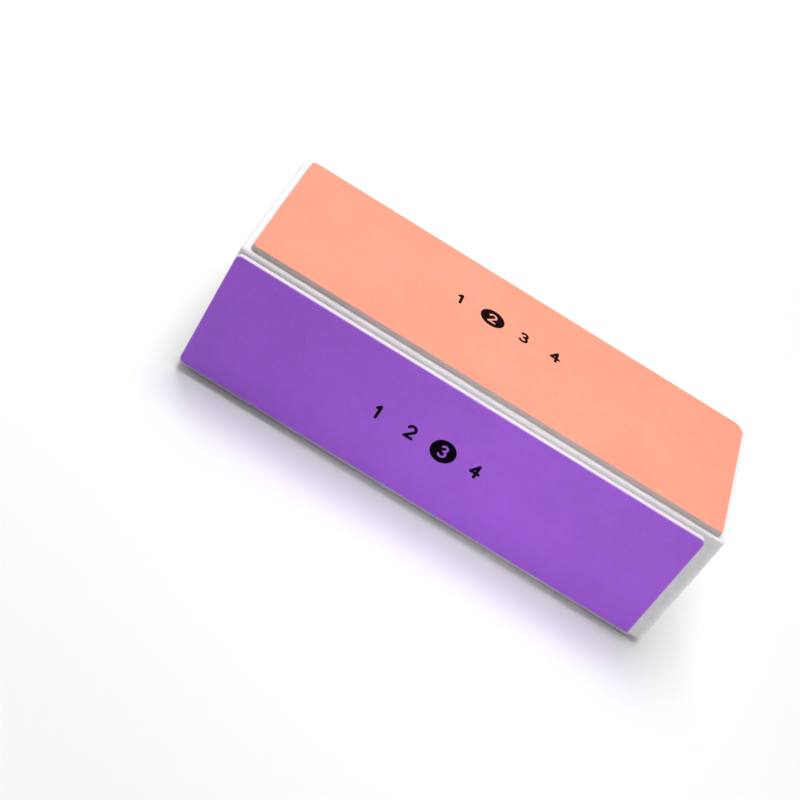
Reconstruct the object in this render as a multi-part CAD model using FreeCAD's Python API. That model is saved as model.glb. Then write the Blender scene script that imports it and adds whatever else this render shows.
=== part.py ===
import FreeCAD, Part
import math
import os
from collections import namedtuple

from FreeCAD import Vector

# Four-way nail buffer block.
#
# A rectangular foam core carries one abrasive strip on each of its four long sides. A strip is a
# stack of layers: an adhesive film on the core, a white foam backing, and a thin coloured abrasive
# sheet with a row of step numbers printed into its face.
#
# Frame: +X runs along the block, the way every number row reads. +Y points out of the teal side
# and +Z out of the coral side. The origin is the middle of the resting face, which is the grey
# side. Lengths are in millimetres and angles in degrees.

# Foam core
CORE_LENGTH = 95.7
CORE_WIDTH = 35.7
CORE_HEIGHT = 27.1
CORE_EDGE_RADIUS = 0.85

# Strip layers, from the core outwards
ADHESIVE_THICKNESS = 0.09
BACKING_THICKNESS = 0.92
SHEET_THICKNESS = 0.20
INK_DEPTH = 0.05

# Outline of a strip on its side of the core
LONG_EDGE_MARGIN = 0.9
CORAL_END_MARGIN = 1.4
PURPLE_END_MARGIN = 1.65
PLAIN_END_MARGIN = 1.5
CORNER_RADIUS = 1.0
WORN_CORNER_RADIUS = 2.4
SHARP_CORNER_RADIUS = 0.4
SHEET_EDGE_RADIUS = 0.12

# How far a strip was laid off the middle of the core, towards +X
CORAL_SLIDE = 0.1
PURPLE_SLIDE = -1.45
TEAL_SLIDE = -0.35

# Printed row of step numbers: the side's own number is left out of a solid disc
NUMBER_PITCH = 6.5
NUMBER_HEIGHT = 2.5
NUMBER_PEN_WIDTH = 0.55
DISC_DIAMETER = 4.8
DISC_NUMBER_HEIGHT = 2.3
DISC_PEN_WIDTH = 0.45
STEPS = (1, 2, 3, 4)

STACK_THICKNESS = ADHESIVE_THICKNESS + BACKING_THICKNESS + SHEET_THICKNESS
AXIS_HEIGHT = STACK_THICKNESS + CORE_HEIGHT / 2

# A side of the block. turn is its angle about the long axis, counted from the coral side on top.
# span is the core's breadth across this side, reach the distance from the core's axis out to it.
# end_margin is the bare core left at each end by a strip laid in the middle.
# odd_corner is the one corner of the strip that was not cut like the others, or None.
# disc is the place of the printed disc, from the strip's middle: along the row and above it.
Side = namedtuple("Side", "name step turn span reach end_margin slide odd_corner disc")
OddCorner = namedtuple("OddCorner", "end long_edge radius")
TOP_WORN = OddCorner(1, 1, WORN_CORNER_RADIUS)
FRONT_SHARP = OddCorner(1, -1, SHARP_CORNER_RADIUS)
BACK_WORN = OddCorner(-1, 1, WORN_CORNER_RADIUS)
SIDES = (
    Side(
        "coral", 2, 0, CORE_WIDTH, CORE_HEIGHT / 2,
        CORAL_END_MARGIN, CORAL_SLIDE, TOP_WORN, (-4.65, 3.0),
    ),
    Side(
        "purple", 3, 90, CORE_HEIGHT, CORE_WIDTH / 2,
        PURPLE_END_MARGIN, PURPLE_SLIDE, FRONT_SHARP, (0.8, 0.3),
    ),
    Side(
        "grey", 4, 180, CORE_WIDTH, CORE_HEIGHT / 2,
        PLAIN_END_MARGIN, 0.0, None, (-1.5, 3.0),
    ),
    Side(
        "teal", 1, 270, CORE_HEIGHT, CORE_WIDTH / 2,
        PLAIN_END_MARGIN, TEAL_SLIDE, BACK_WORN, (5.0, 0.0),
    ),
)

# Pen paths of the numerals, in shares of the numeral's height, about its middle.
# A line is (start, end); an arc is (centre, radius, first angle, last angle).
Line = namedtuple("Line", "start end")
Arc = namedtuple("Arc", "centre radius first last")


def arc_point(arc, angle):
    """The point of an arc at an angle."""
    turn = math.radians(angle)
    x, y = arc.centre
    return (x + arc.radius * math.cos(turn), y + arc.radius * math.sin(turn))


TWO_BOW = Arc((0.0, 0.22), 0.28, -35, 165)
NUMERALS = {
    1: (
        Line((0.0, -0.5), (0.0, 0.5)),
        Line((0.0, 0.5), (-0.22, 0.28)),
    ),
    2: (
        TWO_BOW,
        Line(arc_point(TWO_BOW, TWO_BOW.first), (-0.28, -0.5)),
        Line((-0.28, -0.5), (0.28, -0.5)),
    ),
    3: (
        Arc((0.0, 0.27), 0.23, -90, 150),
        Arc((0.0, -0.23), 0.27, -150, 90),
    ),
    4: (
        Line((0.12, 0.5), (-0.3, -0.15)),
        Line((-0.3, -0.15), (0.32, -0.15)),
        Line((0.12, 0.5), (0.12, -0.5)),
    ),
}


def fuse_all(shapes):
    """One clean solid from shapes that overlap."""
    first, *others = shapes
    return first.multiFuse(others).removeSplitter()


def make_core():
    """The foam block, all of its edges softened alike."""
    corner = Vector(-CORE_LENGTH / 2, -CORE_WIDTH / 2, STACK_THICKNESS)
    block = Part.makeBox(CORE_LENGTH, CORE_WIDTH, CORE_HEIGHT, corner)
    return block.makeFillet(CORE_EDGE_RADIUS, block.Edges)


def edge_at(shape, place):
    """The edge of a shape whose middle is at a place."""
    return min(shape.Edges, key=lambda edge: edge.CenterOfMass.distanceToPoint(place))


def corner_radius(side, end, long_edge):
    """The radius of one strip corner; end and long_edge are its signs along and across the strip."""
    odd = side.odd_corner
    if odd and (odd.end, odd.long_edge) == (end, long_edge):
        return odd.radius
    return CORNER_RADIUS


def layer(side, thickness, base):
    """A flat layer of a strip, lying in the XY plane with its underside at the height base."""
    length = CORE_LENGTH - 2 * side.end_margin
    width = side.span - 2 * LONG_EDGE_MARGIN
    corner = Vector(-length / 2, -width / 2, base)
    plate = Part.makeBox(length, width, thickness, corner)
    for end in (-1, 1):
        for long_edge in (-1, 1):
            place = Vector(end * length / 2, long_edge * width / 2, base + thickness / 2)
            plate = plate.makeFillet(corner_radius(side, end, long_edge), [edge_at(plate, place)])
    return plate


def soften_rim(plate):
    """Rounds the outer rim of a sheet, where the die pressed it down."""
    top = plate.BoundBox.ZMax
    rim = [edge for edge in plate.Edges if edge.BoundBox.ZMin > top - SHEET_THICKNESS / 2]
    return plate.makeFillet(SHEET_EDGE_RADIUS, rim)


def pen_dot(place, pen_width, base):
    """The round end of a pen stroke."""
    return Part.makeCylinder(pen_width / 2, INK_DEPTH, Vector(*place, base))


def pen_line(start, end, pen_width, base):
    """A straight pen stroke with round ends."""
    run = Vector(*end, 0) - Vector(*start, 0)
    bar = Part.makeBox(run.Length, pen_width, INK_DEPTH, Vector(0, -pen_width / 2, 0))
    bar.rotate(Vector(), Vector(0, 0, 1), math.degrees(math.atan2(run.y, run.x)))
    bar.translate(Vector(*start, base))
    return [bar, pen_dot(start, pen_width, base), pen_dot(end, pen_width, base)]


def pen_arc(arc, pen_width, base):
    """A pen stroke along an arc, with round ends."""
    hub = Vector(*arc.centre, base)
    up = Vector(0, 0, 1)
    outer = Part.makeCylinder(arc.radius + pen_width / 2, INK_DEPTH, hub, up, arc.last - arc.first)
    inner = Part.makeCylinder(arc.radius - pen_width / 2, INK_DEPTH, hub, up)
    band = outer.cut(inner)
    band.rotate(hub, up, arc.first)
    ends = [pen_dot(arc_point(arc, angle), pen_width, base) for angle in (arc.first, arc.last)]
    return [band, *ends]


def numeral(step, height, pen_width, middle, base):
    """A numeral drawn with a round pen about the point middle."""
    def on_sheet(point):
        return (middle[0] + height * point[0], middle[1] + height * point[1])

    strokes = []
    for path in NUMERALS[step]:
        if isinstance(path, Line):
            strokes += pen_line(on_sheet(path.start), on_sheet(path.end), pen_width, base)
        else:
            arc = path._replace(centre=on_sheet(path.centre), radius=height * path.radius)
            strokes += pen_arc(arc, pen_width, base)
    return fuse_all(strokes)


def step_numbers(side, base):
    """The row of numbers on one side, with this side's own number left bare in its disc."""
    disc = Part.makeCylinder(DISC_DIAMETER / 2, INK_DEPTH, Vector(*side.disc, base))
    own = numeral(side.step, DISC_NUMBER_HEIGHT, DISC_PEN_WIDTH, side.disc, base)
    marks = [disc.cut(own)]
    for step in STEPS:
        if step != side.step:
            middle = (side.disc[0] + (step - side.step) * NUMBER_PITCH, side.disc[1])
            marks.append(numeral(step, NUMBER_HEIGHT, NUMBER_PEN_WIDTH, middle, base))
    return Part.makeCompound([solid for mark in marks for solid in mark.Solids])


def make_strip(side):
    """The four layers of one strip, lying flat with the core's face at height zero."""
    sheet_base = ADHESIVE_THICKNESS + BACKING_THICKNESS
    ink = step_numbers(side, STACK_THICKNESS - INK_DEPTH)
    sheet = soften_rim(layer(side, SHEET_THICKNESS, sheet_base))
    return {
        "adhesive_film": layer(side, ADHESIVE_THICKNESS, 0.0),
        "foam_backing": layer(side, BACKING_THICKNESS, ADHESIVE_THICKNESS),
        "abrasive_sheet": sheet.cut(ink),
        "step_numbers": ink,
    }


def lay_on_core(shape, side):
    """Carries a flat layer to its side of the core."""
    placed = shape.copy()
    placed.translate(Vector(side.slide, 0, side.reach))
    placed.rotate(Vector(), Vector(1, 0, 0), side.turn)
    placed.translate(Vector(0, 0, AXIS_HEIGHT))
    return placed


def make_nodes():
    """Every piece of the block by its name."""
    nodes = {"foam_core": make_core()}
    for side in SIDES:
        for piece, shape in make_strip(side).items():
            nodes[f"{side.name}_{piece}"] = lay_on_core(shape, side)
    return nodes


os.makedirs("parts", exist_ok=True)
for name, shape in make_nodes().items():
    shape.exportStep(f"parts/{name}.step")
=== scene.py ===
import math
from collections import namedtuple

import bpy
from mathutils import Matrix, Vector


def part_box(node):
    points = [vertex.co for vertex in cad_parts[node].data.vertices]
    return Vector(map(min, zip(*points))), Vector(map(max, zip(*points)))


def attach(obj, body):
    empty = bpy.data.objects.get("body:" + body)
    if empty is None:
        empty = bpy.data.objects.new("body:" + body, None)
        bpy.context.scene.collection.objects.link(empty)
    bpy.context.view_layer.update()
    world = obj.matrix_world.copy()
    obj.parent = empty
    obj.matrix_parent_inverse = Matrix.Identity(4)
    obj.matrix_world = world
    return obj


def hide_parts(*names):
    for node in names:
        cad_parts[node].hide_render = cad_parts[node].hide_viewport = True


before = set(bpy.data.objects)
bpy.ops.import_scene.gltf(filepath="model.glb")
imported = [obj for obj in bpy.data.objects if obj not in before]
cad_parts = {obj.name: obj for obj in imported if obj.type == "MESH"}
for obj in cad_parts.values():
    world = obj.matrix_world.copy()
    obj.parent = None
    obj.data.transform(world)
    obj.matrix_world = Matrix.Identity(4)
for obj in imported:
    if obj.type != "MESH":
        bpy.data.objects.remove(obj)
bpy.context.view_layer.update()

# A nail buffer block: a foam core with a foam-backed, coated abrasive strip on each long side.
# Lengths are in metres, as in the frame; MM turns a length in millimetres into one.
MM = 0.001

# Corners of the strips, of which some were cut rounder or sharper than the rest
CORNER_RADIUS = 1.0 * MM
WORN_RADIUS = 2.4 * MM
SHARP_RADIUS = 0.4 * MM

# The four sides in their order round the block, counted from the coral side on top. turn is the
# angle about the long axis, in degrees. odd is the corner that was not cut like the others, as signs
# along and across the strip or zeros for none, and odd_radius its radius. press is how far the die
# pressed the sheet's rim down.
SIDES = {
    "coral": {"turn": 0, "odd": (1, 1), "odd_radius": WORN_RADIUS, "press": 0.03 * MM},
    "purple": {"turn": 90, "odd": (1, -1), "odd_radius": SHARP_RADIUS, "press": 0.14 * MM},
    "grey": {"turn": 180, "odd": (0, 0), "odd_radius": CORNER_RADIUS, "press": 0.06 * MM},
    "teal": {"turn": 270, "odd": (-1, 1), "odd_radius": WORN_RADIUS, "press": 0.10 * MM},
}

# Shape of the strips. The mesh's rows crowd into the rim band, and the rim curves down over the rim
# width. The print stands a little proud of the sheet. Frequencies are per metre.
RIM_BAND = 2.8 * MM
RIM_WIDTH = 1.1 * MM
SHEET_EDGE = 0.09 * MM
BACKING_EDGE = 0.01 * MM
INK_STAND = 0.015 * MM
SWAY = 0.025 * MM
SWAY_FREQUENCY = 110.0
FOAM_BULGE = 0.05 * MM
STRIP_CELLS = (84, 42)
STRIP_RIM_CELLS = 12
STRIP_CROWDING = 1.8
SHEET_WALL_CELLS = 2
BACKING_WALL_CELLS = 6

# Shape of the core, whose rows crowd into a band along each edge
CORE_EDGE_RADIUS = 0.7 * MM
CORE_BAND = 2.4 * MM
CORE_CELLS = (76, 36, 32)
CORE_RIM_CELLS = 8
CORE_CROWDING = 1.5
CORE_UNEVENNESS = 0.06 * MM
DENT_FREQUENCY = 120.0

# Edges that turn by more than this stay crisp
CREASE_ANGLE = math.radians(40)


# Node formulas ------------------------------------------------------------------------------

class Term:
    """A number that varies over a mesh or a surface, so that node formulas read as arithmetic."""

    def __init__(self, graph, socket):
        self.graph = graph
        self.socket = socket

    def __add__(self, other):
        return self.graph.calc("ADD", self, other)

    def __radd__(self, other):
        return self.graph.calc("ADD", other, self)

    def __sub__(self, other):
        return self.graph.calc("SUBTRACT", self, other)

    def __rsub__(self, other):
        return self.graph.calc("SUBTRACT", other, self)

    def __mul__(self, other):
        return self.graph.calc("MULTIPLY", self, other)

    def __rmul__(self, other):
        return self.graph.calc("MULTIPLY", other, self)

    def __truediv__(self, other):
        return self.graph.calc("DIVIDE", self, other)

    def __rtruediv__(self, other):
        return self.graph.calc("DIVIDE", other, self)

    def __pow__(self, other):
        return self.graph.calc("POWER", self, other)


class Graph:
    """Adds nodes to one node tree and wires them."""

    def __init__(self, tree):
        self.tree = tree

    def add(self, kind, inputs=(), **settings):
        """A new node. inputs gives its sockets, by name or number, a value or a link."""
        node = self.tree.nodes.new(kind)
        for name, value in settings.items():
            setattr(node, name, value)
        for name, value in dict(inputs).items():
            self.feed(node.inputs[name], value)
        return node

    def feed(self, socket, value):
        """Links a Term or a socket into a socket, or sets a plain value on it."""
        if isinstance(value, Term):
            value = value.socket
        if isinstance(value, bpy.types.NodeSocket):
            self.tree.links.new(value, socket)
        else:
            socket.default_value = value

    def calc(self, operation, *values):
        """One Math node."""
        node = self.add("ShaderNodeMath", enumerate(values), operation=operation)
        return Term(self, node.outputs[0])

    def split(self, vector):
        """The X, Y and Z parts of a vector."""
        node = self.add("ShaderNodeSeparateXYZ", {0: vector})
        return [Term(self, part) for part in node.outputs]

    def join(self, x, y, z):
        """A vector of three parts."""
        return self.add("ShaderNodeCombineXYZ", {0: x, 1: y, 2: z}).outputs[0]

    def scale(self, vector, gain):
        """A vector or a colour times a number."""
        node = self.add("ShaderNodeVectorMath", {0: vector, "Scale": gain}, operation="SCALE")
        return node.outputs[0]

    def ramp(self, value, low, high):
        """A smooth step from 0 at low to 1 at high."""
        inputs = {"Value": value, "From Min": low, "From Max": high}
        node = self.add("ShaderNodeMapRange", inputs, interpolation_type="SMOOTHSTEP")
        return Term(self, node.outputs[0])

    def noise(self, vector, scale, detail=2.0, roughness=0.5, seed=0.0):
        """Soft 3-D noise between 0 and 1."""
        inputs = {"Vector": vector, "W": seed, "Scale": scale, "Detail": detail, "Roughness": roughness}
        node = self.add("ShaderNodeTexNoise", inputs, noise_dimensions="4D")
        return Term(self, node.outputs[0])

    def cells(self, vector, scale):
        """Packed cells: the distance from a cell's middle, and three random tones of its own."""
        inputs = {"Vector": vector, "Scale": scale}
        node = self.add("ShaderNodeTexVoronoi", inputs, voronoi_dimensions="3D", feature="F1")
        return Term(self, node.outputs["Distance"]), self.split(node.outputs["Color"])


def blend(first, second, share):
    """Two numbers mixed: a share of the first, and the rest of the second."""
    return first * share + second * (1.0 - share)


def sockets(tree, direction, named):
    """Gives a node group its named sockets; named maps a name to (kind, starting value)."""
    for name, (kind, start) in named.items():
        socket = tree.interface.new_socket(name, in_out=direction, socket_type="NodeSocket" + kind)
        if start is not None:
            socket.default_value = start


def group_inputs(graph):
    """The node group's own inputs, by name."""
    entry = graph.add("NodeGroupInput")
    return {socket.name: Term(graph, socket) for socket in entry.outputs if socket.name}


# Shape trees --------------------------------------------------------------------------------

def spread(graph, share, half, band, cells, rim_cells, crowding):
    """Places even steps from -1 to 1 along a side of length 2 * half, crowded into its rims."""
    inner = 1.0 - 2.0 * rim_cells / cells
    reach = graph.calc("ABSOLUTE", share)
    middle = (half - band) * graph.calc("MINIMUM", reach / inner, 1.0)
    into_rim = graph.calc("MAXIMUM", reach - inner, 0.0) / (1.0 - inner)
    rim = band * (1.0 - graph.calc("MAXIMUM", 1.0 - into_rim, 0.0) ** crowding)
    return middle + rim


def store(graph, geometry, attributes):
    """Keeps numbers on the mesh's points by name, for the materials."""
    for name, value in attributes.items():
        geometry = graph.add(
            "GeometryNodeStoreNamedAttribute", {"Geometry": geometry, "Name": name, "Value": value},
            data_type="FLOAT", domain="POINT",
        ).outputs[0]
    return geometry


def finish_tree(graph, geometry, material):
    """Creases sharp edges and ends the tree."""
    angle = graph.add("GeometryNodeInputMeshEdgeAngle").outputs["Unsigned Angle"]
    sharp = graph.add("FunctionNodeCompare", {0: angle, 1: CREASE_ANGLE},
                      data_type="FLOAT", operation="GREATER_THAN")
    smooth = graph.add("GeometryNodeSetShadeSmooth", {0: geometry, "Shade Smooth": True})
    creased = graph.add(
        "GeometryNodeSetShadeSmooth",
        {0: smooth.outputs[0], "Selection": sharp.outputs[0], "Shade Smooth": False},
        domain="EDGE",
    )
    real = graph.add("GeometryNodeRealizeInstances", {0: creased.outputs[0]})
    painted = graph.add("GeometryNodeSetMaterial", {0: real.outputs[0], "Material": material})
    graph.add("NodeGroupOutput", {0: painted.outputs[0]})


def pressed_layer_tree():
    """One layer of a strip: a flat plate with round corners, whose rim the die pressed down."""
    tree = bpy.data.node_groups.new("Pressed layer", "GeometryNodeTree")
    sockets(tree, "INPUT", {
        "Length": ("Float", 90 * MM), "Width": ("Float", 30 * MM), "Thickness": ("Float", 1.0 * MM),
        "Base": ("Float", 0.0), "Corner radius": ("Float", CORNER_RADIUS),
        "Odd corner radius": ("Float", CORNER_RADIUS), "Odd corner along": ("Float", 0.0),
        "Odd corner across": ("Float", 0.0), "Rim band": ("Float", RIM_BAND),
        "Rim width": ("Float", RIM_WIDTH), "Top drop": ("Float", 0.0),
        "Underside drop": ("Float", 0.0), "Top edge": ("Float", SHEET_EDGE),
        "Top sway": ("Float", 0.0), "Underside sway": ("Float", 0.0), "Bulge": ("Float", 0.0),
        "Seed": ("Float", 0.0), "Turn": ("Float", 0.0), "Offset": ("Vector", (0.0, 0.0, 0.0)),
        "Cells along": ("Int", STRIP_CELLS[0]), "Cells across": ("Int", STRIP_CELLS[1]),
        "Wall cells": ("Int", SHEET_WALL_CELLS), "Rim cells": ("Int", STRIP_RIM_CELLS),
        "Material": ("Material", None),
    })
    sockets(tree, "OUTPUT", {"Geometry": ("Geometry", None)})
    graph = Graph(tree)
    size = group_inputs(graph)

    counts = [size[name] + 1 for name in ("Cells along", "Cells across", "Wall cells")]
    block = graph.add("GeometryNodeMeshCube", {"Size": (2.0, 2.0, 2.0)})
    for axis, count in zip("XYZ", counts):
        graph.feed(block.inputs[f"Vertices {axis}"], count)
    along, across, up = graph.split(graph.add("GeometryNodeInputPosition").outputs[0])

    # Half sizes, a little larger half-way up the wall, where foam bulges out
    belly = size["Bulge"] * (1.0 - up * up)
    half_x = size["Length"] / 2.0 + belly
    half_y = size["Width"] / 2.0 + belly
    band, rim_cells = size["Rim band"], size["Rim cells"]
    x = spread(graph, along, half_x, band, size["Cells along"], rim_cells, STRIP_CROWDING)
    y = spread(graph, across, half_y, band, size["Cells across"], rim_cells, STRIP_CROWDING)
    from_edge = graph.calc("MINIMUM", half_x - x, half_y - y)

    # The corner that was not cut like the others
    sign_x = graph.calc("SIGN", along)
    sign_y = graph.calc("SIGN", across)
    at_end = graph.calc("COMPARE", sign_x, size["Odd corner along"], 0.1)
    at_edge = graph.calc("COMPARE", sign_y, size["Odd corner across"], 0.1)
    extra = size["Odd corner radius"] - size["Corner radius"]
    radius = size["Corner radius"] + extra * at_end * at_edge

    # A square corner's rings become the rings of a quarter disc
    in_x = graph.calc("MAXIMUM", 1.0 - (half_x - x) / radius, 0.0)
    in_y = graph.calc("MAXIMUM", 1.0 - (half_y - y) / radius, 0.0)
    ring = graph.calc("MAXIMUM", in_x, in_y)
    lesser = graph.calc("MINIMUM", in_x, in_y)
    small_angle = (math.pi / 4.0) * (lesser / ring)
    steep = graph.calc("GREATER_THAN", in_y, in_x)
    angle = small_angle + steep * (math.pi / 2.0 - small_angle - small_angle)
    round_x = x + radius * (ring * graph.calc("COSINE", angle) - in_x)
    round_y = y + radius * (ring * graph.calc("SINE", angle) - in_y)
    flat_x = sign_x * round_x
    flat_y = sign_y * round_y

    # Heights: the rim curves down, the top edge is rounded over, and the sheet sways a little
    rim = 1.0 - graph.calc("MINIMUM", from_edge / size["Rim width"], 1.0)
    sag = rim * rim
    into_edge = 1.0 - graph.calc("MINIMUM", from_edge / size["Top edge"], 1.0)
    rounding = size["Top edge"] * (1.0 - graph.calc("SQRT", 1.0 - into_edge * into_edge))
    flat = graph.join(flat_x, flat_y, 0.0)
    waves = graph.noise(flat, SWAY_FREQUENCY, detail=1.0, roughness=0.4, seed=size["Seed"])
    top = size["Base"] + size["Thickness"] - size["Top drop"] * sag - rounding
    top = top - size["Top sway"] * waves
    underside = size["Base"] - size["Underside drop"] * sag - size["Underside sway"] * waves
    level = (up + 1.0) / 2.0
    height = underside + (top - underside) * level

    marked = store(graph, block.outputs["Mesh"], {"rim": rim, "depth": 1.0 - level})
    shaped = graph.add("GeometryNodeSetPosition",
                       {"Geometry": marked, "Position": graph.join(flat_x, flat_y, height)})
    placed = graph.add("GeometryNodeTransform", {
        "Geometry": shaped.outputs[0], "Translation": size["Offset"],
        "Rotation": graph.join(size["Turn"], 0.0, 0.0),
    })
    finish_tree(graph, placed.outputs[0], size["Material"])
    return tree


def foam_block_tree():
    """The core: a block of foam with soft, slightly uneven edges and faces."""
    tree = bpy.data.node_groups.new("Foam block", "GeometryNodeTree")
    sockets(tree, "INPUT", {
        "Size": ("Vector", (90 * MM, 30 * MM, 30 * MM)), "Centre": ("Vector", (0.0, 0.0, 0.0)),
        "Edge radius": ("Float", CORE_EDGE_RADIUS), "Rim band": ("Float", CORE_BAND),
        "Unevenness": ("Float", CORE_UNEVENNESS), "Seed": ("Float", 0.0),
        "Cells along": ("Int", CORE_CELLS[0]), "Cells across": ("Int", CORE_CELLS[1]),
        "Cells up": ("Int", CORE_CELLS[2]), "Rim cells": ("Int", CORE_RIM_CELLS),
        "Material": ("Material", None),
    })
    sockets(tree, "OUTPUT", {"Geometry": ("Geometry", None)})
    graph = Graph(tree)
    size = group_inputs(graph)

    block = graph.add("GeometryNodeMeshCube", {"Size": (2.0, 2.0, 2.0)})
    shares = graph.split(graph.add("GeometryNodeInputPosition").outputs[0])
    spans = graph.split(size["Size"])
    radius = size["Edge radius"]
    cores, overs, signs, nears = [], [], [], []
    for axis, cells, share, span in zip("XYZ", ("along", "across", "up"), shares, spans):
        count = size[f"Cells {cells}"]
        graph.feed(block.inputs[f"Vertices {axis}"], count + 1)
        half = span / 2.0
        reach = spread(graph, share, half, size["Rim band"], count, size["Rim cells"], CORE_CROWDING)
        core = graph.calc("MINIMUM", reach, half - radius)
        cores.append(core)
        overs.append(reach - core)
        signs.append(graph.calc("SIGN", share))
        nears.append(graph.calc("MAXIMUM", 1.0 - (half - reach) / size["Rim band"], 0.0))

    # What stands out past the inner box is pulled back to one radius from it
    length = graph.calc("SQRT", overs[0] * overs[0] + overs[1] * overs[1] + overs[2] * overs[2])
    places = [sign * (core + radius * over / length) for sign, core, over in zip(signs, cores, overs)]

    # On a face the middle one of the three says how near the closest edge is
    highest = graph.calc("MAXIMUM", graph.calc("MAXIMUM", nears[0], nears[1]), nears[2])
    lowest = graph.calc("MINIMUM", graph.calc("MINIMUM", nears[0], nears[1]), nears[2])
    rim = nears[0] + nears[1] + nears[2] - highest - lowest
    long_edge = graph.calc("MINIMUM", nears[1], nears[2])
    marked = store(graph, block.outputs["Mesh"], {"rim": rim, "long_edge": long_edge})
    shaped = graph.add("GeometryNodeSetPosition", {"Geometry": marked, "Position": graph.join(*places)})

    # Shallow dents, drawn on the rounded block
    on_block = graph.add("GeometryNodeInputPosition").outputs[0]
    dents = graph.noise(on_block, DENT_FREQUENCY, seed=size["Seed"])
    outwards = graph.add("GeometryNodeInputNormal").outputs[0]
    pull = graph.scale(outwards, size["Unevenness"] * dents * -1.0)
    dented = graph.add("GeometryNodeSetPosition", {"Geometry": shaped.outputs[0], "Offset": pull})
    placed = graph.add("GeometryNodeTransform",
                       {"Geometry": dented.outputs[0], "Translation": size["Centre"]})
    finish_tree(graph, placed.outputs[0], size["Material"])
    return tree


# Shader groups ------------------------------------------------------------------------------

# How often a coarser or a finer pattern comes for each foam cell, each grain and each broad patch
CLUMPS_PER_CELL = 0.22
BINDER_PER_GRAIN = 0.35
FINE_PER_BROAD = 5.0

# How steeply a grain falls away from its peak, and how often a rubbed rim is broken up, per metre
GRAIN_STEEPNESS = 1.3
RAGGED_FREQUENCY = 900.0


def shader_group(name, inputs, outputs):
    """A new shader node group, its graph and its inputs by name."""
    tree = bpy.data.node_groups.new(name, "ShaderNodeTree")
    sockets(tree, "INPUT", inputs)
    sockets(tree, "OUTPUT", outputs)
    graph = Graph(tree)
    return tree, graph, group_inputs(graph)


def foam_cells_group():
    """Closed foam cells: small domes of uneven tone, bunched into soft clumps."""
    tree, graph, given = shader_group(
        "Foam cells",
        {"Vector": ("Vector", None), "Cell size": ("Float", 0.4 * MM)},
        {"Height": ("Float", None), "Tone": ("Float", None)},
    )
    distance, tones = graph.cells(given["Vector"], 1.0 / given["Cell size"])
    dome = 1.0 - distance
    clumps = graph.noise(given["Vector"], CLUMPS_PER_CELL / given["Cell size"], detail=3.0, roughness=0.6)
    graph.add("NodeGroupOutput", {
        "Height": blend(dome, clumps, share=0.6),
        "Tone": blend(tones[0], clumps, share=0.35),
    })
    return tree


def coating_grit_group():
    """Abrasive grains in their binder: packed bumps, each a little lighter or darker."""
    tree, graph, given = shader_group(
        "Coating grit",
        {"Vector": ("Vector", None), "Grain size": ("Float", 0.2 * MM)},
        {"Height": ("Float", None), "Speckle": ("Float", None)},
    )
    scale = 1.0 / given["Grain size"]
    distance, tones = graph.cells(given["Vector"], scale)
    peak = 1.0 - graph.calc("MINIMUM", distance * GRAIN_STEEPNESS, 1.0)
    binder = graph.noise(given["Vector"], scale * BINDER_PER_GRAIN, roughness=0.55)
    graph.add("NodeGroupOutput", {
        "Height": blend(peak, binder, share=0.7),
        "Speckle": blend(tones[1], binder, share=0.6),
    })
    return tree


def soft_mottle_group():
    """Broad, faint cloudiness, from 0 to 1 about a half."""
    tree, graph, given = shader_group(
        "Soft mottle",
        {"Vector": ("Vector", None), "Patch size": ("Float", 8 * MM), "Seed": ("Float", 0.0)},
        {"Tone": ("Float", None)},
    )
    scale = 1.0 / given["Patch size"]
    broad = graph.noise(given["Vector"], scale, seed=given["Seed"])
    own_seed = given["Seed"] + 3.0
    fine = graph.noise(given["Vector"], scale * FINE_PER_BROAD, detail=3.0, roughness=0.6, seed=own_seed)
    graph.add("NodeGroupOutput", {"Tone": blend(broad, fine, share=0.65)})
    return tree


def rim_wear_and_light_group():
    """A mask along a rim, strong at the very edge and broken up further in: for worn rims, and for
    painted light and painted reflection along the core's edges.
    """
    tree, graph, given = shader_group(
        "Rim wear",
        {"Vector": ("Vector", None), "Rim": ("Float", 0.0), "Start": ("Float", 0.6),
         "Raggedness": ("Float", 0.4)},
        {"Mask": ("Float", None)},
    )
    ragged = graph.noise(given["Vector"], RAGGED_FREQUENCY, detail=3.0, roughness=0.65) - 0.5
    reach = given["Rim"] + ragged * given["Raggedness"] * given["Rim"]
    graph.add("NodeGroupOutput", {"Mask": graph.ramp(reach, given["Start"], 1.0)})
    return tree


FOAM_CELLS = foam_cells_group()
COATING_GRIT = coating_grit_group()
SOFT_MOTTLE = soft_mottle_group()
RIM_WEAR_AND_LIGHT = rim_wear_and_light_group()


# Materials ----------------------------------------------------------------------------------

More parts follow.
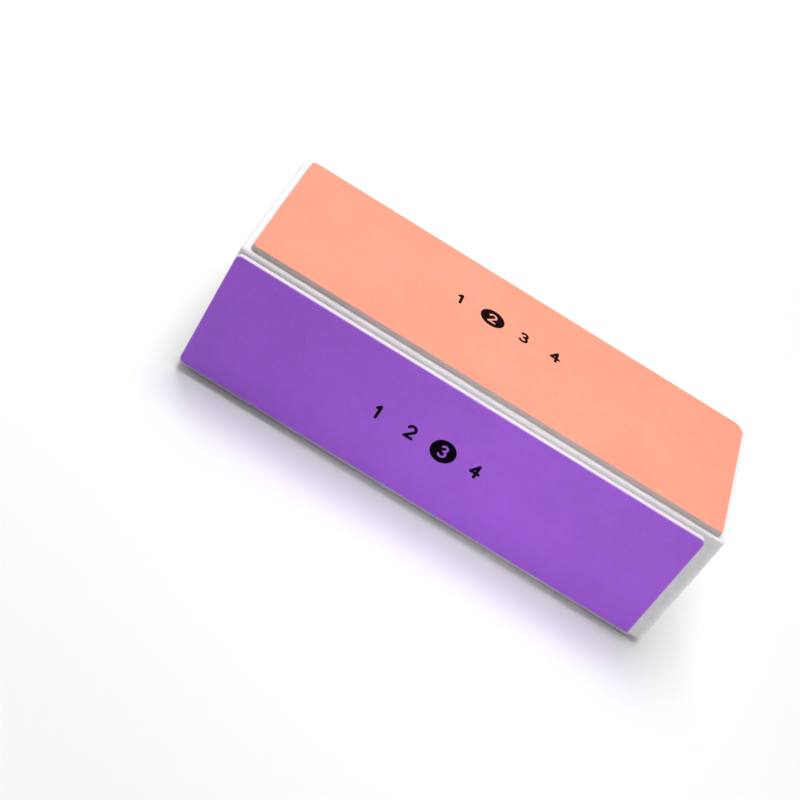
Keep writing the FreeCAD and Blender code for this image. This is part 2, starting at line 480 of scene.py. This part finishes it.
# A finish for each side: colour of the coating and of its rim and lighter grains, where the rim is
# partly worn and partly a painted highlight (on the grey side the rim is darker), grain size and
# relief, roughness, gloss, strength of the speckle, the colour of the backing foam, tinted with a
# painted reflection of the coating and, on the coral side, darkened as painted shade, and how much
# of the coating's colour shows through the print.
FINISHES = {
    "coral": {
        "colour": (0.90, 0.342, 0.232), "rim": (0.93, 0.41, 0.31), "grain": 0.24 * MM,
        "depth": 0.020 * MM, "roughness": 0.72, "gloss": 0.30, "speckle": 0.10,
        "backing": (0.65, 0.535, 0.535), "through_ink": 0.016,
    },
    "purple": {
        "colour": (0.42, 0.128, 0.82), "rim": (0.60, 0.29, 0.93), "grain": 0.18 * MM,
        "depth": 0.012 * MM, "roughness": 0.62, "gloss": 0.22, "speckle": 0.10,
        "backing": (0.775, 0.73, 0.865), "through_ink": 0.010,
    },
    "grey": {
        "colour": (0.215, 0.205, 0.232), "rim": (0.15, 0.145, 0.155), "grain": 0.12 * MM,
        "depth": 0.004 * MM, "roughness": 0.42, "gloss": 0.45, "speckle": 0.05,
        "backing": (0.71, 0.71, 0.73), "through_ink": 0.010,
    },
    "teal": {
        "colour": (0.06, 0.46, 0.61), "rim": (0.14, 0.56, 0.70), "grain": 0.30 * MM,
        "depth": 0.026 * MM, "roughness": 0.68, "gloss": 0.30, "speckle": 0.12,
        "backing": (0.71, 0.76, 0.81), "through_ink": 0.010,
    },
}

# The sheets' paper, which shows along their cut edges
PAPER_COLOUR = (0.72, 0.63, 0.61)

# The foams, of which the core's has the coarser cells. Each cell darkens or lightens the colour, from
# the darkest gain up over the tone range, and roughens the foam over the roughness range.
FOAM_DARKEST = 0.945
FOAM_TONE_RANGE = 0.09
FOAM_ROUGHNESS = 0.86
FOAM_ROUGHNESS_RANGE = 0.1
CORE_COLOUR = (0.79, 0.784, 0.797)
# The core's edges are paler as painted light, where light catches and shines through the rounded foam
CORE_EDGE_LIGHT_COLOUR = (0.915, 0.91, 0.925)
# The core's long edges take a pink-lilac tint, a painted reflection of the coloured coatings beside them
CORE_LONG_EDGE_BOUNCE_COLOUR = (0.82, 0.762, 0.795)
CORE_CELL = 0.38 * MM
CORE_RELIEF = 0.035 * MM
BACKING_CELL = 0.22 * MM
BACKING_RELIEF = 0.02 * MM

# The coated sheets: how dark and how light their cloudiness is, the gain of their dark grains, and
# how far the rim takes on its rim colour, worn and painted lighter as a highlight
CLOUD_GAINS = (0.955, 1.045)
DARK_GRAIN_GAIN = 0.6
RIM_RUB_AND_LIGHT = 0.55

# The print: what thick ink shows of the colour under it as a share of what thin ink shows, how far
# the bare grains come through and how dark they stay, and its relief
THICK_INK_SHARE = 0.3
BARE_GRAIN_SHARE = 0.2
BARE_GRAIN_GAIN = 0.3
INK_RELIEF = 0.012 * MM

# The adhesive film, from its deeper to its paler tone
FILM_COLOURS = ((0.70, 0.66, 0.55), (0.82, 0.80, 0.74))
FILM_RELIEF = 0.01 * MM


def place_group(graph, tree, inputs):
    """A node group in a material; its outputs by name."""
    node = graph.add("ShaderNodeGroup", node_tree=tree)
    for name, value in inputs.items():
        graph.feed(node.inputs[name], value)
    return {socket.name: Term(graph, socket) for socket in node.outputs}


def mix_colour(graph, factor, first, second):
    """first where factor is 0, second where it is 1. The node has sockets for each kind of value,
    all named alike, and those of a colour are 6, 7 and 2."""
    node = graph.add("ShaderNodeMix", data_type="RGBA")
    graph.feed(node.inputs[0], factor)
    graph.feed(node.inputs[6], first)
    graph.feed(node.inputs[7], second)
    return node.outputs[2]


def rgba(colour, gain=1.0):
    """An opaque colour, lightened or darkened by gain."""
    return (*(min(1.0, part * gain) for part in colour), 1.0)


def new_material(name):
    """A new material, its graph, its shader and the piece's own coordinates."""
    material = bpy.data.materials.new(name)
    material.use_nodes = True
    material.node_tree.nodes.clear()
    graph = Graph(material.node_tree)
    shader = graph.add("ShaderNodeBsdfPrincipled")
    graph.add("ShaderNodeOutputMaterial", {"Surface": shader.outputs[0]})
    coords = graph.add("ShaderNodeTexCoord").outputs["Object"]
    return material, graph, shader, coords


def attribute(graph, name):
    """A number stored on the mesh. rim is 1 on a piece's rim and 0 inside it, long_edge the same for
    the core's four long edges alone, and depth is 0 on a layer's outer face and 1 on its underside."""
    return Term(graph, graph.add("ShaderNodeAttribute", attribute_name=name).outputs["Fac"])


def bump(graph, height, depth):
    """A normal from a height between 0 and 1 that stands for depth metres."""
    node = graph.add("ShaderNodeBump", {"Strength": 1.0, "Distance": depth, "Height": height})
    return node.outputs[0]


def foam_surface(graph, shader, coords, colour, cell_size, relief):
    """Matte closed-cell foam of a colour, which each cell makes a little lighter or darker."""
    cells = place_group(graph, FOAM_CELLS, {"Vector": coords, "Cell size": cell_size})
    mottle = place_group(graph, SOFT_MOTTLE, {"Vector": coords, "Patch size": 7 * MM})
    tone = graph.ramp(blend(cells["Tone"], mottle["Tone"], share=0.6), 0.25, 0.75)
    gain = FOAM_DARKEST + tone * FOAM_TONE_RANGE
    graph.feed(shader.inputs["Base Color"], graph.scale(colour, gain))
    graph.feed(shader.inputs["Roughness"], FOAM_ROUGHNESS + cells["Tone"] * FOAM_ROUGHNESS_RANGE)
    graph.feed(shader.inputs["Normal"], bump(graph, cells["Height"], relief))
    shader.inputs["Specular IOR Level"].default_value = 0.25
    shader.inputs["Subsurface Weight"].default_value = 0.2
    shader.inputs["Subsurface Radius"].default_value = (1.0, 1.0, 1.0)
    shader.inputs["Subsurface Scale"].default_value = 0.8 * MM


def core_material():
    """The core's foam, paler at its edges as painted light, and tinted along its long edges with a
    painted reflection of the coloured coatings beside them.
    """
    material, graph, shader, coords = new_material("core foam")
    near = {"Vector": coords, "Start": 0.35, "Raggedness": 0.3}
    # Painted light: the core's edges made paler
    rubbed_and_lit = place_group(graph, RIM_WEAR_AND_LIGHT, {**near, "Rim": attribute(graph, "rim")})
    # Painted reflection: the coatings' colour along the core's long edges
    painted_bounce = place_group(graph, RIM_WEAR_AND_LIGHT, {**near, "Rim": attribute(graph, "long_edge")})
    edge_lit = mix_colour(graph, rubbed_and_lit["Mask"], rgba(CORE_COLOUR), rgba(CORE_EDGE_LIGHT_COLOUR))
    colour = mix_colour(graph, painted_bounce["Mask"], edge_lit, rgba(CORE_LONG_EDGE_BOUNCE_COLOUR))
    foam_surface(graph, shader, coords, colour, CORE_CELL, CORE_RELIEF)
    return material


def backing_material(name, colour):
    """The finer foam behind a coated sheet, in a colour tinted with a painted reflection of its coating.
    """
    material, graph, shader, coords = new_material(name)
    foam_surface(graph, shader, coords, colour, BACKING_CELL, BACKING_RELIEF)
    return material


def sheet_material(name, finish, seed):
    """A coated abrasive sheet: fine grains in coloured binder, worn round its rim, where a painted
    highlight also lightens the rim.
    """
    material, graph, shader, coords = new_material(name)
    colour, rim_colour, speckle = finish["colour"], finish["rim"], finish["speckle"]
    grit = place_group(graph, COATING_GRIT, {"Vector": coords, "Grain size": finish["grain"]})
    mottle = place_group(graph, SOFT_MOTTLE, {"Vector": coords, "Patch size": 12 * MM, "Seed": seed})
    # The rim mask: a worn rim that also carries a painted highlight
    wear_and_light = place_group(graph, RIM_WEAR_AND_LIGHT, {"Vector": coords, "Rim": attribute(graph, "rim"),
                                         "Start": 0.7, "Raggedness": 0.5})
    cloud = graph.ramp(mottle["Tone"], 0.3, 0.7)
    body = mix_colour(graph, cloud, *(rgba(colour, gain) for gain in CLOUD_GAINS))
    low_grains = graph.ramp(grit["Speckle"], 0.45, 0.25) * speckle
    high_grains = graph.ramp(grit["Speckle"], 0.6, 0.8) * speckle
    dark = mix_colour(graph, low_grains, body, rgba(colour, DARK_GRAIN_GAIN))
    light = mix_colour(graph, high_grains, dark, rgba(rim_colour))
    rubbed_and_lit = mix_colour(graph, wear_and_light["Mask"] * RIM_RUB_AND_LIGHT, light, rgba(rim_colour))
    cut_edge = graph.ramp(attribute(graph, "depth"), 0.02, 0.12)
    graph.feed(shader.inputs["Base Color"], mix_colour(graph, cut_edge, rubbed_and_lit, rgba(PAPER_COLOUR)))
    graph.feed(shader.inputs["Roughness"], finish["roughness"] + (grit["Speckle"] - 0.5) * 0.2)
    graph.feed(shader.inputs["Normal"], bump(graph, grit["Height"], finish["depth"]))
    shader.inputs["Specular IOR Level"].default_value = finish["gloss"]
    return material


def ink_material(name, finish, seed):
    """Black print with a trace of the colour under it, which the highest grains poke through."""
    material, graph, shader, coords = new_material(name)
    colour, through = finish["colour"], finish["through_ink"]
    grit = place_group(graph, COATING_GRIT, {"Vector": coords, "Grain size": finish["grain"]})
    mottle = place_group(graph, SOFT_MOTTLE, {"Vector": coords, "Patch size": 1.5 * MM, "Seed": seed})
    bare = graph.ramp(blend(grit["Speckle"], mottle["Tone"], share=0.6), 0.66, 0.76)
    thick, thin = rgba(colour, THICK_INK_SHARE * through), rgba(colour, through)
    black = mix_colour(graph, mottle["Tone"], thick, thin)
    printed = mix_colour(graph, bare * BARE_GRAIN_SHARE, black, rgba(colour, BARE_GRAIN_GAIN))
    graph.feed(shader.inputs["Base Color"], printed)
    graph.feed(shader.inputs["Roughness"], 0.5 + grit["Speckle"] * 0.2)
    graph.feed(shader.inputs["Normal"], bump(graph, grit["Height"], INK_RELIEF))
    shader.inputs["Specular IOR Level"].default_value = 0.015
    return material


def adhesive_material():
    """Clear film with fine trapped air, pale where it takes up the foam's colour."""
    material, graph, shader, coords = new_material("clear adhesive film")
    mottle = place_group(graph, SOFT_MOTTLE, {"Vector": coords, "Patch size": 2 * MM})
    tint = mix_colour(graph, mottle["Tone"], *(rgba(colour) for colour in FILM_COLOURS))
    graph.feed(shader.inputs["Base Color"], tint)
    graph.feed(shader.inputs["Roughness"], 0.25 + mottle["Tone"] * 0.25)
    graph.feed(shader.inputs["Normal"], bump(graph, mottle["Tone"], FILM_RELIEF))
    return material


# Pieces -------------------------------------------------------------------------------------

def grow(name, tree, values):
    """A plain mesh object from a shape tree and its named values."""
    piece = bpy.data.objects.new(name, bpy.data.meshes.new(name))
    bpy.context.scene.collection.objects.link(piece)
    modifier = piece.modifiers.new(tree.name, "NODES")
    modifier.node_group = tree
    identifiers = {item.name: item.identifier for item in tree.interface.items_tree}
    for key, value in values.items():
        modifier[identifiers[key]] = value
    depsgraph = bpy.context.evaluated_depsgraph_get()
    mesh = bpy.data.meshes.new_from_object(piece.evaluated_get(depsgraph), depsgraph=depsgraph)
    piece.modifiers.clear()
    piece.data = mesh
    mesh.name = name
    return piece


def dress(piece, node):
    """Puts a finished piece in the place of its CAD node."""
    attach(piece, "root")
    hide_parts(node)
    return piece


def box_span(node):
    """A CAD node's middle and its sizes along X, Y and Z."""
    low, high = (Vector(corner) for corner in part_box(node))
    return (low + high) / 2, high - low


def make_core():
    """The foam core."""
    middle, size = box_span("foam_core")
    core = grow("core_foam_block", foam_block_tree(), {
        "Size": size, "Centre": middle, "Edge radius": CORE_EDGE_RADIUS, "Rim band": CORE_BAND,
        "Unevenness": CORE_UNEVENNESS, "Seed": 1.0, "Cells along": CORE_CELLS[0],
        "Cells across": CORE_CELLS[1], "Cells up": CORE_CELLS[2], "Rim cells": CORE_RIM_CELLS,
        "Material": core_material(),
    })
    dress(core, "foam_core")


def make_strip(side, tree, seed):
    """The foam backing and the coated sheet of one side, in the CAD strip's place."""
    finish = FINISHES[side]
    cut = SIDES[side]
    turn = math.radians(cut["turn"])
    odd_along, odd_across = cut["odd"]
    press = cut["press"]
    # The backing colour is tinted with a painted reflection of the coating, and on the coral side
    # darkened as painted shade
    foam = backing_material(f"{side} backing foam", finish["backing"])
    coating = sheet_material(f"{side} coating", finish, seed)
    core_middle = box_span("foam_core")[0]
    facing = Matrix.Rotation(turn, 3, "X")

    def lay(name, node, thickness_left, values):
        """One layer, laid flat at the height of its CAD node and turned to its side."""
        middle, size = box_span(node)
        local = facing.inverted() @ (middle - core_middle)
        flat = facing.inverted() @ size
        thickness = abs(flat.z)
        piece = grow(name, tree, {
            "Length": size.x, "Width": abs(flat.y), "Thickness": thickness - thickness_left,
            "Base": local.z - thickness / 2, "Corner radius": CORNER_RADIUS,
            "Odd corner radius": cut["odd_radius"], "Odd corner along": float(odd_along),
            "Odd corner across": float(odd_across), "Rim band": RIM_BAND, "Rim width": RIM_WIDTH,
            "Seed": seed, "Turn": turn, "Offset": (middle.x, core_middle.y, core_middle.z),
            "Cells along": STRIP_CELLS[0], "Cells across": STRIP_CELLS[1],
            "Rim cells": STRIP_RIM_CELLS, **values,
        })
        return dress(piece, node)

    backing = lay(f"{side}_backing_strip", f"{side}_foam_backing", 0.0, {
        "Top drop": press, "Underside drop": 0.0, "Top edge": BACKING_EDGE, "Top sway": SWAY,
        "Underside sway": 0.0, "Bulge": FOAM_BULGE, "Wall cells": BACKING_WALL_CELLS,
        "Material": foam,
    })
    lay(f"{side}_coated_sheet", f"{side}_abrasive_sheet", INK_STAND, {
        "Top drop": press, "Underside drop": press, "Top edge": SHEET_EDGE, "Top sway": SWAY,
        "Underside sway": SWAY, "Bulge": 0.0, "Wall cells": SHEET_WALL_CELLS,
        "Material": coating,
    })


def paint(node, material):
    """Gives a CAD node its material."""
    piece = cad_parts[node]
    piece.data.materials.clear()
    piece.data.materials.append(material)


def make_block():
    """Every piece of the block."""
    make_core()
    tree = pressed_layer_tree()
    film = adhesive_material()
    for seed, side in enumerate(SIDES, start=1):
        make_strip(side, tree, float(seed))
        paint(f"{side}_adhesive_film", film)
        paint(f"{side}_step_numbers", ink_material(f"{side} ink", FINISHES[side], float(seed)))


make_block()


# Floor, light and camera --------------------------------------------------------------------

# The floor, which fades into the backdrop between two distances from the block. The opening under
# the block is smaller than its footprint by the inset.
FLOOR_REACH = 4.0
FLOOR_FADE = (90 * MM, 190 * MM)
FLOOR_COLOUR = (0.96, 0.96, 0.96)
FLOOR_GAINS = (0.99, 1.01)
FLOOR_FREQUENCY = 9.0
FOOTPRINT_INSET = 0.3 * MM
SKY_STRENGTH = 0.04
WHITE = (1.0, 1.0, 1.0, 1.0)

# The camera, round a point on the block: angles in degrees, lens and sensor in millimetres
CAMERA_AIM = Vector((-10.6, -3.5, 8.65)) * MM
CAMERA_DISTANCE = 325.8 * MM
CAMERA_AZIMUTH = -4.19
CAMERA_ELEVATION = 35.04
CAMERA_ROLL = 33.9
CAMERA_LENS = 81.5
CAMERA_SENSOR = 36.0
CAMERA_CLIP_START = 10 * MM

# The lights: where each stands and what it faces, in metres, the side of its square front in
# metres, its power in watts and its spread in degrees, which a grid on the front narrows.
Softbox = namedtuple("Softbox", "name place aim size power spread")
SOFTBOXES = (
    Softbox("overhead softbox", (0.0, 0.02, 0.75), (0.0, 0.0, 0.01), 0.6, 4.4, 180),
    Softbox("back softbox", (-0.10, 0.30, 0.70), (0.0, 0.0, 0.01), 0.5, 2.1, 180),
    Softbox("end softbox", (-0.70, 0.10, 0.30), (0.0, 0.0, 0.01), 0.4, 0.6, 180),
    Softbox("front grid light", (0.10, -0.30, 0.14), (0.016, -0.019, 0.0125), 0.06, 0.0042, 21),
    Softbox("top grid light", (0.0, -0.08, 0.36), (-0.018, -0.006, 0.03), 0.10, 0.0022, 20),
    Softbox("right softbox", (0.60, -0.20, 0.30), (0.03, 0.0, 0.01), 0.4, 0.26, 180),
    Softbox("low softbox", (0.0, 0.0, -0.6), (0.0, 0.0, 0.0), 0.5, 4.0, 180),
)


def floor_material():
    """A matte pale floor, clear from below. Far from the block the camera sees plain white, so the
    floor runs on into the backdrop."""
    material, graph, shader, coords = new_material("pale floor")
    tone = graph.noise(coords, FLOOR_FREQUENCY)
    mottled = mix_colour(graph, tone, *(rgba(FLOOR_COLOUR, gain) for gain in FLOOR_GAINS))
    graph.feed(shader.inputs["Base Color"], mottled)
    shader.inputs["Roughness"].default_value = 0.9
    shader.inputs["Specular IOR Level"].default_value = 0.1
    away = graph.add("ShaderNodeVectorMath", {0: coords}, operation="LENGTH").outputs["Value"]
    seen = graph.add("ShaderNodeLightPath").outputs["Is Camera Ray"]
    white = graph.add("ShaderNodeEmission", {"Color": WHITE}).outputs[0]
    backdrop = graph.ramp(away, *FLOOR_FADE) * Term(graph, seen)
    faded = graph.add("ShaderNodeMixShader", {0: backdrop, 1: shader.outputs[0], 2: white}).outputs[0]
    from_below = graph.add("ShaderNodeNewGeometry").outputs["Backfacing"]
    clear = graph.add("ShaderNodeBsdfTransparent").outputs[0]
    either = graph.add("ShaderNodeMixShader", {0: from_below, 1: faded, 2: clear})
    graph.feed(material.node_tree.get_output_node("ALL").inputs["Surface"], either.outputs[0])
    return material


def make_floor():
    """A plain floor with an opening hidden under the block."""
    low, high = (Vector(corner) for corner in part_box("grey_abrasive_sheet"))
    inset = Vector((FOOTPRINT_INSET, FOOTPRINT_INSET, 0.0))
    low, high = low + inset, high - inset
    outer = [(-FLOOR_REACH, -FLOOR_REACH), (FLOOR_REACH, -FLOOR_REACH),
             (FLOOR_REACH, FLOOR_REACH), (-FLOOR_REACH, FLOOR_REACH)]
    inner = [(low.x, low.y), (high.x, low.y), (high.x, high.y), (low.x, high.y)]
    points = [(x, y, 0.0) for x, y in outer + inner]
    faces = [(k, (k + 1) % 4, (k + 1) % 4 + 4, k + 4) for k in range(4)]
    mesh = bpy.data.meshes.new("floor")
    mesh.from_pydata(points, [], faces)
    mesh.materials.append(floor_material())
    floor = bpy.data.objects.new("floor", mesh)
    bpy.context.scene.collection.objects.link(floor)


def make_sky(strength):
    """Even white light from all round; the camera sees plain white beyond the floor."""
    world = bpy.data.worlds.new("studio")
    world.use_nodes = True
    world.node_tree.nodes.clear()
    graph = Graph(world.node_tree)
    seen = Term(graph, graph.add("ShaderNodeLightPath").outputs["Is Camera Ray"])
    background = graph.add("ShaderNodeBackground", {
        "Color": WHITE, "Strength": strength + seen * (1.0 - strength),
    })
    graph.add("ShaderNodeOutputWorld", {"Surface": background.outputs[0]})
    bpy.context.scene.world = world


def make_softbox(box):
    """A square soft light that faces a point."""
    data = bpy.data.lights.new(box.name, "AREA")
    data.shape = "SQUARE"
    data.size = box.size
    data.energy = box.power
    data.spread = math.radians(box.spread)
    lamp = bpy.data.objects.new(box.name, data)
    lamp.location = box.place
    lamp.rotation_euler = (Vector(box.aim) - Vector(box.place)).to_track_quat("-Z", "Y").to_euler()
    bpy.context.scene.collection.objects.link(lamp)


def make_camera():
    """The camera, turned about its own line of sight so that the block runs down to the right."""
    azimuth = math.radians(CAMERA_AZIMUTH)
    elevation = math.radians(CAMERA_ELEVATION)
    back = Vector((
        math.sin(azimuth) * math.cos(elevation),
        -math.cos(azimuth) * math.cos(elevation),
        math.sin(elevation),
    ))
    upright = (-back).to_track_quat("-Z", "Y").to_matrix()
    turned = upright @ Matrix.Rotation(math.radians(CAMERA_ROLL), 3, "Z")
    data = bpy.data.cameras.new("camera")
    data.lens = CAMERA_LENS
    data.sensor_width = CAMERA_SENSOR
    data.clip_start = CAMERA_CLIP_START
    camera = bpy.data.objects.new("camera", data)
    camera.location = CAMERA_AIM + back * CAMERA_DISTANCE
    camera.rotation_euler = turned.to_euler()
    bpy.context.scene.collection.objects.link(camera)
    bpy.context.scene.camera = camera


make_floor()
make_sky(SKY_STRENGTH)
for softbox in SOFTBOXES:
    make_softbox(softbox)
make_camera()
bpy.context.scene.view_settings.view_transform = "Standard"
